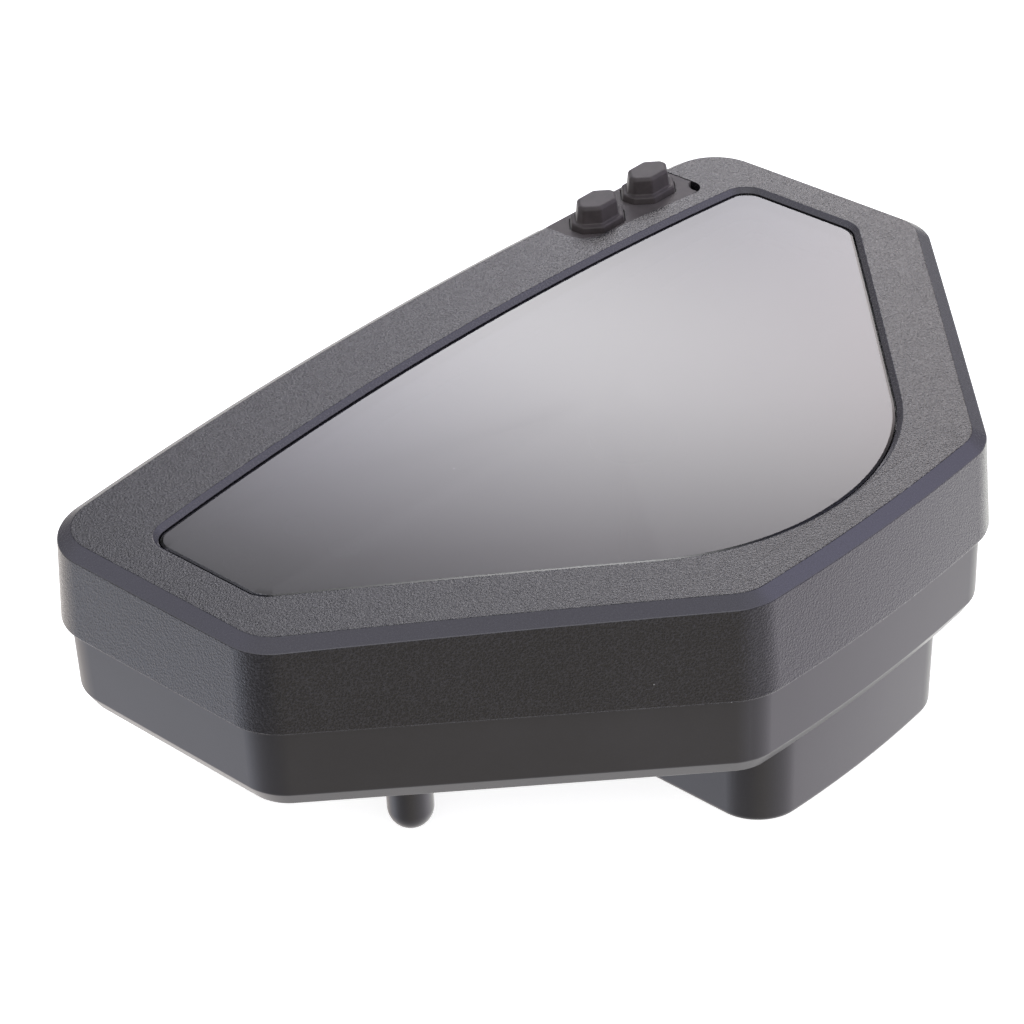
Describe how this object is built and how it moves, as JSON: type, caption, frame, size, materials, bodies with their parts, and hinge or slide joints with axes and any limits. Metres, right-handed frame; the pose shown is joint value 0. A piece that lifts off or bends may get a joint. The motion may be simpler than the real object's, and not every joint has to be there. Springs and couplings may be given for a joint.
{
  "type": "motorcycle instrument cluster",
  "caption": "Shield-shaped motorcycle instrument cluster: black case, smoked lens, dial with pointer, small display and push keys.",
  "frame": {"origin": "middle of the footprint, on the plane that the rear feet and the chin drum stand on", "axes": "+Z out of the lens, +Y to the crown of the case, +X to the side with the keys"},
  "size_m": [0.2328, 0.1484, 0.0718],
  "materials": {
    "bezel_plastic": "fine spark-eroded grain",
    "housing_plastic": "satin moulded",
    "smoked_lens": "polished, smoked polycarbonate",
    "key_rubber": "matte silicone",
    "carbon_rubber": "conductive silicone",
    "seal_rubber": "matte",
    "inner_plastic": "matte",
    "dial_print": "screen-printed polycarbonate",
    "clear_acrylic": "polished acrylic",
    "white_plastic": "reflective white",
    "lamp_lens": "smoked acrylic",
    "display": "liquid crystal cell",
    "pointer_plastic": "moulded",
    "motor_plastic": "moulded",
    "steel": "zinc plated",
    "contact_metal": "plated contacts",
    "board_laminate": "solder mask on glass laminate",
    "ribbon_film": "polyester film",
    "chip_resin": "moulded resin",
    "capacitor_can": "drawn can",
    "connector_plastic": "glass-filled nylon",
    "vent_plastic": "moulded"
  },
  "bodies": {
    "case": {"front_bezel": "bezel_plastic", "lens": "smoked_lens", "lens_gasket": "seal_rubber", "dial_surround": "inner_plastic", "dial_plate": "dial_print", "light_guide": "clear_acrylic", "light_box": "white_plastic", "indicator_lenses": "lamp_lens", "display_glass": "display", "display_frame": "inner_plastic", "display_backlight": "clear_acrylic", "stepper_motor": "motor_plastic", "motor_pins": "contact_metal", "button_pad": "key_rubber", "key_board": "board_laminate", "key_contacts": "contact_metal", "key_board_screws": "steel", "key_ribbon": "ribbon_film", "circuit_board": "board_laminate", "processor": "chip_resin", "board_lamps": "white_plastic", "board_capacitors": "capacitor_can", "voltage_regulator": "chip_resin", "connector_header": "connector_plastic", "connector_pins": "contact_metal", "connector_gasket": "seal_rubber", "board_screws": "steel", "rear_housing": "housing_plastic", "housing_seal": "seal_rubber", "case_screws": "steel", "breather_vent": "vent_plastic"},
    "select_key": {"select_key": "key_rubber", "select_contact_pill": "carbon_rubber"},
    "reset_key": {"reset_key": "key_rubber", "reset_contact_pill": "carbon_rubber"},
    "pointer": {"pointer": "pointer_plastic", "pointer_cap": "inner_plastic", "motor_shaft": "steel"}
  },
  "joints": [
    {"name": "select_press", "type": "slide", "parent": "case", "child": "select_key", "axis": [0, 0, -1], "range_m": [0, 0.001], "stiffness_N_per_m": 1500, "springref_m": -0.0005},
    {"name": "reset_press", "type": "slide", "parent": "case", "child": "reset_key", "axis": [0, 0, -1], "range_m": [0, 0.001], "stiffness_N_per_m": 1500, "springref_m": -0.0005},
    {"name": "pointer_sweep", "type": "hinge", "parent": "case", "child": "pointer", "pos_m": [0, -0.00227, 0.059], "axis": [0, 0, -1], "range_deg": [0, 256]}
  ]
}
